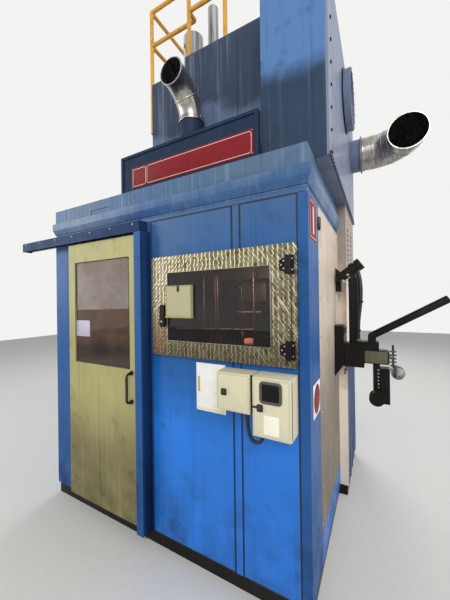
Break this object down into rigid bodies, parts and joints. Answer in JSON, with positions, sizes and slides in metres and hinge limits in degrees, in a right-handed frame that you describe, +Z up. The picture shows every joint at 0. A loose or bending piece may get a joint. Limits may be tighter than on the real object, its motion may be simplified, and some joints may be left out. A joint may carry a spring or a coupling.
{
  "type": "forging press",
  "caption": "Hydraulic forging press inside a blue sheet-steel guard cabin, with a sliding door, a viewing hatch, a stepped tower with ducts, and a side feeder.",
  "frame": {"origin": "on the floor under the press axis, on the flat underside of the press bed", "axes": "+Z up, -Y towards the operator's front, +X towards the side with the feeder"},
  "size_m": [3.349, 2.066, 4.357],
  "materials": {
    "blue_paint": "gloss machine enamel",
    "cream_paint": "satin enamel",
    "white_paint": "textured powder coat",
    "yellow_paint": "gloss enamel",
    "black_paint": "greasy satin black",
    "dark_steel": "dark painted channel",
    "stainless": "brushed",
    "bare_steel": "ground",
    "black_iron": "oily cast and welded steel",
    "clear_glass": "clear sheet",
    "black_rubber": "matt",
    "black_plastic": "moulded"
  },
  "bodies": {
    "frame": {"base_plinth": "dark_steel", "cabin_back_wall": "blue_paint", "cabinet_a_case": "white_paint", "cabinet_b_case": "white_paint", "cabinet_cable": "black_rubber", "centre_post": "blue_paint", "closing_post": "blue_paint", "corner_post": "blue_paint", "cornice": "blue_paint", "door_header": "blue_paint", "door_rail": "bare_steel", "fascia_band": "blue_paint", "feeder_adjusters": "bare_steel", "feeder_cylinder": "black_paint", "feeder_frame": "black_paint", "feeder_plates": "black_paint", "feeder_post": "black_paint", "feeder_strut": "black_paint", "front_frame": "blue_paint", "front_left_post": "blue_paint", "front_mullion": "blue_paint", "front_panel_a": "blue_paint", "front_panel_b": "blue_paint", "guard_rails": "yellow_paint", "hatch_fittings": "black_plastic", "hatch_frame": "stainless", "hatch_glass": "clear_glass", "hatch_tray": "cream_paint", "header_band": "blue_paint", "left_duct_elbow": "stainless", "left_duct_spigot": "blue_paint", "left_wall": "blue_paint", "lower_die": "bare_steel", "port_ring": "blue_paint", "press_bed": "black_iron", "press_columns": "bare_steel", "press_head": "black_iron", "rail_cover": "blue_paint", "rear_housing": "blue_paint", "rear_right_wall": "cream_paint", "right_duct_elbow": "stainless", "right_duct_spigot": "blue_paint", "roof_sheet": "blue_paint", "side_guard": "cream_paint", "side_sill": "blue_paint", "sign_board": "blue_paint", "tower_carriers": "black_iron", "tower_cylinders": "stainless", "tower_front_block": "blue_paint", "tower_main_wall": "blue_paint", "tower_side_plate": "blue_paint", "tower_top_sheet": "blue_paint"},
    "front_door": {"front_door": "cream_paint", "door_glass": "clear_glass", "door_handle": "black_plastic", "door_hangers": "bare_steel"},
    "ram": {"ram": "black_iron", "upper_die": "bare_steel"},
    "cabinet_a_door": {"cabinet_a_door": "white_paint"},
    "cabinet_b_door": {"cabinet_b_door": "white_paint"}
  },
  "joints": [
    {"name": "front_door_slide", "type": "slide", "parent": "frame", "child": "front_door", "axis": [-1, 0, 0], "range_m": [0, 0.665]},
    {"name": "ram_stroke", "type": "slide", "parent": "frame", "child": "ram", "axis": [0, 0, -1], "range_m": [0, 0.3]},
    {"name": "cabinet_a_hinge", "type": "hinge", "parent": "frame", "child": "cabinet_a_door", "pos_m": [0.4195, -1.1575, 1.183], "axis": [0, 0, 1], "range_deg": [0, 90]},
    {"name": "cabinet_b_hinge", "type": "hinge", "parent": "frame", "child": "cabinet_b_door", "pos_m": [0.6345, -1.1775, 1.138], "axis": [0, 0, 1], "range_deg": [0, 110]}
  ]
}
